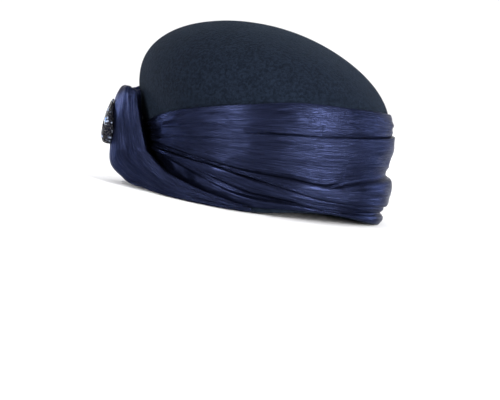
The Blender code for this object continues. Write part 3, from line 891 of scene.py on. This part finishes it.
def silk(name):
    """Slubbed silk: streaks that run along the cloth, over a crosswise weave."""
    paint = Paint(name, metallic=0.9, anisotropic=0.6, anisotropic_rotation=0.25)
    paint.shade("Specular Tint", (0.50, 0.51, 0.56, 1))
    paint.shade("Specular IOR Level", 0.0)
    slubs = paint.noise(paint.cloth_place(3.5, 95), scale=1, detail=3, roughness=0.65)
    slubs = paint.spread(slubs, contrast=2.8)
    threads = paint.noise(paint.cloth_place(9, 380), scale=1, detail=2, roughness=0.6)
    threads = paint.spread(threads, contrast=2.0)
    cross = paint.noise(paint.cloth_place(190, 24), scale=1, detail=2, roughness=0.5)
    cross = paint.spread(cross, contrast=1.6)
    tone = slubs * 0.55 + threads * 0.3 + cross * 0.15
    dark = (0.0010, 0.0015, 0.0050, 1)
    light = (0.0250, 0.0314, 0.0730, 1)
    paint.shade("Base Color", paint.blend(tone, dark, light))
    paint.shade("Roughness", 0.41 - slubs * 0.12 - threads * 0.04)
    paint.bump(slubs + threads * 0.35 + cross * 0.08, distance=0.0003, strength=0.8)
    return paint.material


def bead_glass():
    """Seed beads: most are near black, with pale blue patches painted on as glints."""
    paint = Paint("seed_bead_glass", roughness=0.2)
    paint.shade("Specular IOR Level", 0.3)
    # The pale patches are painted glints: light colour put where the beads would catch the lamps,
    # not their own colour.
    glint_patches = paint.noise(paint.object_place(), scale=330, detail=1, roughness=0.5)
    tone = paint.spread(glint_patches - 0.14, contrast=9.0)
    dark = (0.002, 0.002, 0.006, 1)
    light = (0.34, 0.40, 0.55, 1)
    paint.shade("Base Color", paint.blend(tone, dark, light))
    return paint.material


def brooch_backing():
    """The dark cloth of the pad under the beads."""
    paint = Paint("brooch_backing", roughness=0.8)
    paint.shade("Specular IOR Level", 0.1)
    weave = paint.noise(paint.object_place(), scale=900, detail=3, roughness=0.6)
    dark = (0.004, 0.004, 0.010, 1)
    light = (0.015, 0.016, 0.030, 1)
    paint.shade("Base Color", paint.blend(weave, dark, light))
    paint.bump(weave, distance=0.0003, strength=0.6)
    return paint.material


def stone_glass():
    """The cut stone: clear blue facets, with paler patches painted on as glints."""
    paint = Paint("blue_stone", roughness=0.04, coat_weight=1.0, coat_roughness=0.02)
    # The paler patches are painted glints, not the stone's own colour.
    glint_patches = paint.noise(paint.object_place(), scale=260, detail=2, roughness=0.5)
    dark = (0.01, 0.05, 0.25, 1)
    light = (0.14, 0.38, 0.78, 1)
    paint.shade("Base Color", paint.blend(glint_patches, dark, light))
    return paint.material


def dress(node, material):
    """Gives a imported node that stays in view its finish."""
    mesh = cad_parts[node].data
    mesh.materials.clear()
    mesh.materials.append(material)


# Studio


def make_floor():
    """Pale floor that sweeps up into a wall behind the hat."""
    bpy.ops.object.select_all(action="DESELECT")
    bpy.ops.mesh.primitive_grid_add(x_subdivisions=2, y_subdivisions=FLOOR_STEPS, size=2)
    floor = bpy.context.object
    floor.name = "studio_floor"
    back = -heading(CAMERA_AZIMUTH)
    side = Vector((-back.y, back.x, 0))
    for vertex in floor.data.vertices:
        reach = mix(-FLOOR_REACH, FLOOR_REACH, (vertex.co.y + 1) / 2)
        bend = max(reach - FLOOR_TO_WALL, 0) / WALL_BEND
        turn = min(bend, math.pi / 2)
        along = min(reach, FLOOR_TO_WALL) + WALL_BEND * math.sin(turn)
        up = WALL_BEND * (1 - math.cos(turn)) + WALL_BEND * max(bend - math.pi / 2, 0)
        across = side * vertex.co.x * FLOOR_REACH
        vertex.co = back * along + across + Vector((0, 0, up))
    smooth_faces(floor.data)
    paint = Paint("pale_floor", roughness=0.9)
    paint.shade("Base Color", (0.86, 0.86, 0.87, 1))
    floor.data.materials.append(paint.material)


def add_panel(panel, aim):
    """Soft light panel that faces what it is aimed at."""
    light = bpy.data.lights.new(panel.name, "AREA")
    light.shape = "RECTANGLE"
    light.size = panel.width
    light.size_y = panel.tall
    light.energy = panel.power
    lamp = bpy.data.objects.new(panel.name, light)
    bpy.context.scene.collection.objects.link(lamp)
    lamp.location = heading(panel.azimuth) * panel.distance + Vector((0, 0, panel.height))
    lamp.rotation_euler = (aim - lamp.location).to_track_quat("-Z", "Y").to_euler()


def make_lights():
    """Panels round the hat and on the wall, under a soft ceiling."""
    for panel in HAT_PANELS:
        add_panel(panel, HAT_AIM)
    add_panel(WALL_PANEL, -heading(CAMERA_AZIMUTH) * WALL_AIM_REACH)
    sun = bpy.data.lights.new("ceiling", "SUN")
    sun.energy = CEILING_POWER
    sun.angle = math.radians(CEILING_SPREAD)
    ceiling = bpy.data.objects.new("ceiling", sun)
    bpy.context.scene.collection.objects.link(ceiling)
    away = heading(CEILING_AZIMUTH) * CEILING_SLOPE + Vector((0, 0, 1))
    ceiling.rotation_euler = away.to_track_quat("Z", "Y").to_euler()
    world = bpy.context.scene.world or bpy.data.worlds.new("studio")
    bpy.context.scene.world = world
    world.use_nodes = True
    background = world.node_tree.nodes["Background"]
    background.inputs["Color"].default_value = (1, 1, 1, 1)
    background.inputs["Strength"].default_value = ROOM_LIGHT
    bpy.context.scene.view_settings.view_transform = "Standard"


def make_camera(middle):
    """Camera that looks at the hat from its right front, rolled a little."""
    aim = CAMERA_AIM + Vector(middle)
    place = aim + heading(CAMERA_AZIMUTH) * CAMERA_DISTANCE
    place.z = CAMERA_HEIGHT
    camera = bpy.data.objects.new("camera", bpy.data.cameras.new("camera"))
    bpy.context.scene.collection.objects.link(camera)
    camera.data.lens = CAMERA_LENS
    camera.data.sensor_width = SENSOR_WIDTH
    camera.data.dof.use_dof = False
    turn = (aim - place).to_track_quat("-Z", "Y").to_matrix()
    roll = Matrix.Rotation(math.radians(CAMERA_ROLL), 3, "Z")
    camera.matrix_world = Matrix.Translation(place) @ (turn @ roll).to_4x4()
    bpy.context.scene.camera = camera


middle = hat_middle()
make_crown(middle)
make_band(middle)
make_twist(middle)
make_beads()
dress("brooch_base", brooch_backing())
dress("brooch_stone", stone_glass())
make_floor()
make_lights()
make_camera(middle)
